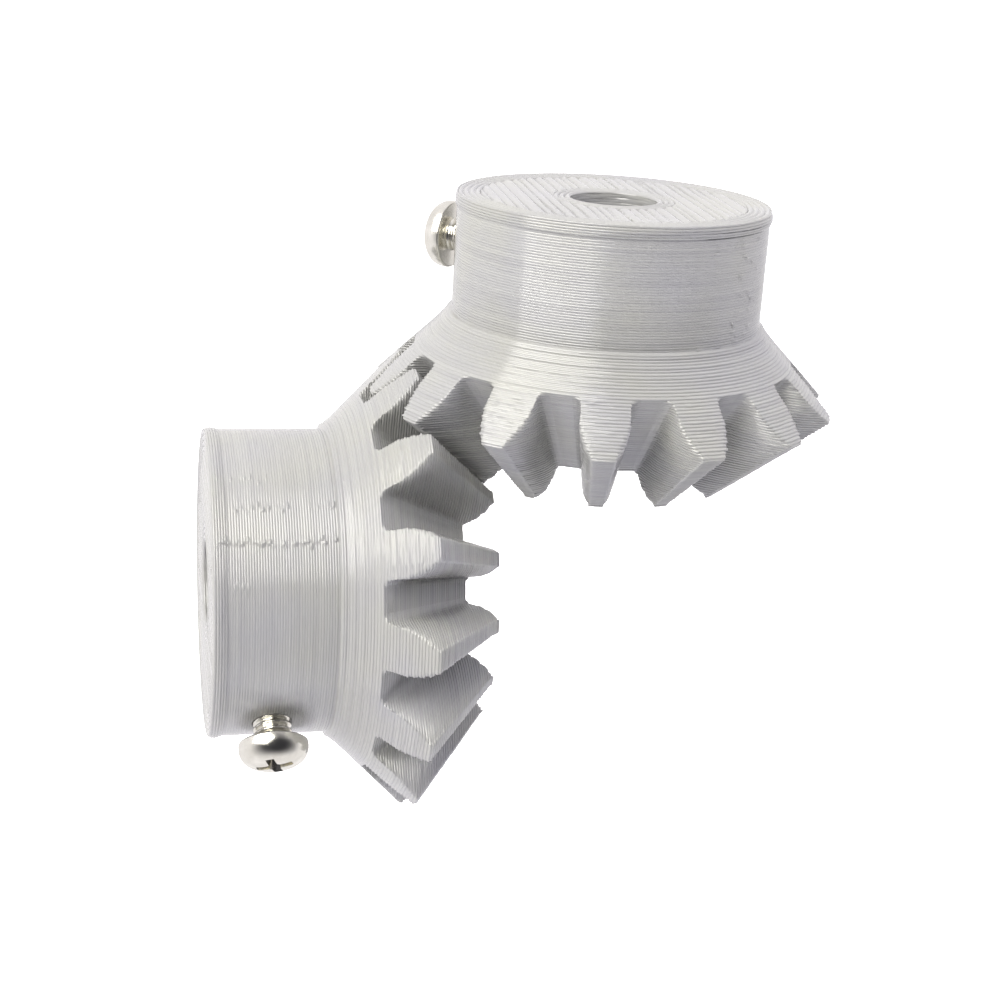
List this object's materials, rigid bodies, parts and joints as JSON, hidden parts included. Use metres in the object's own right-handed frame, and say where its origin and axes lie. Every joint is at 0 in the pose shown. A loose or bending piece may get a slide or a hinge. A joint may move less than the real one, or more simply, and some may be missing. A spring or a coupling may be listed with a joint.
{
  "type": "bevel gear pair",
  "caption": "Pair of matching straight-cut mitre gears meshed at a right angle, each with a plain cylindrical hub, through bore and one radial pan-head set screw.",
  "frame": {"origin": "the point where the two shaft axes cross, in the middle of the two bores' planes", "axes": "+Z along the upper shaft, pointing out of the upper hub's end; -X along the side shaft, pointing out of the side hub's end"},
  "size_m": [0.0491, 0.0366, 0.0489],
  "materials": {
    "printed_grey": "semi-gloss printed PLA with fine layer lines",
    "plated_steel": "bright zinc or nickel plate",
    "marker": "plain"
  },
  "bodies": {
    "frame_marker": {"axis_crossing_datum": "marker"},
    "upper": {"upper_gear": "printed_grey"},
    "upper_screw": {"upper_set_screw": "plated_steel"},
    "side": {"side_gear": "printed_grey"},
    "side_screw": {"side_set_screw": "plated_steel"}
  },
  "joints": [
    {"name": "upper_spin", "type": "hinge", "parent": "frame_marker", "child": "upper", "pos_m": [0, 0, 0.02132], "axis": [0, 0, 1], "continuous": true},
    {"name": "side_spin", "type": "hinge", "parent": "frame_marker", "child": "side", "pos_m": [-0.02132, 0, 0], "axis": [-1, 0, 0], "continuous": true},
    {"name": "upper_screw_travel", "type": "slide", "parent": "upper", "child": "upper_screw", "axis": [-0.788, 0.6157, 0], "range_m": [-0.0004, 0.0035]},
    {"name": "side_screw_travel", "type": "slide", "parent": "side", "child": "side_screw", "axis": [0, -0.7373, -0.6756], "range_m": [-0.0004, 0.0035]}
  ],
  "couplings": [
    {"joint": "side_spin", "follows": "upper_spin", "ratio": -1}
  ]
}
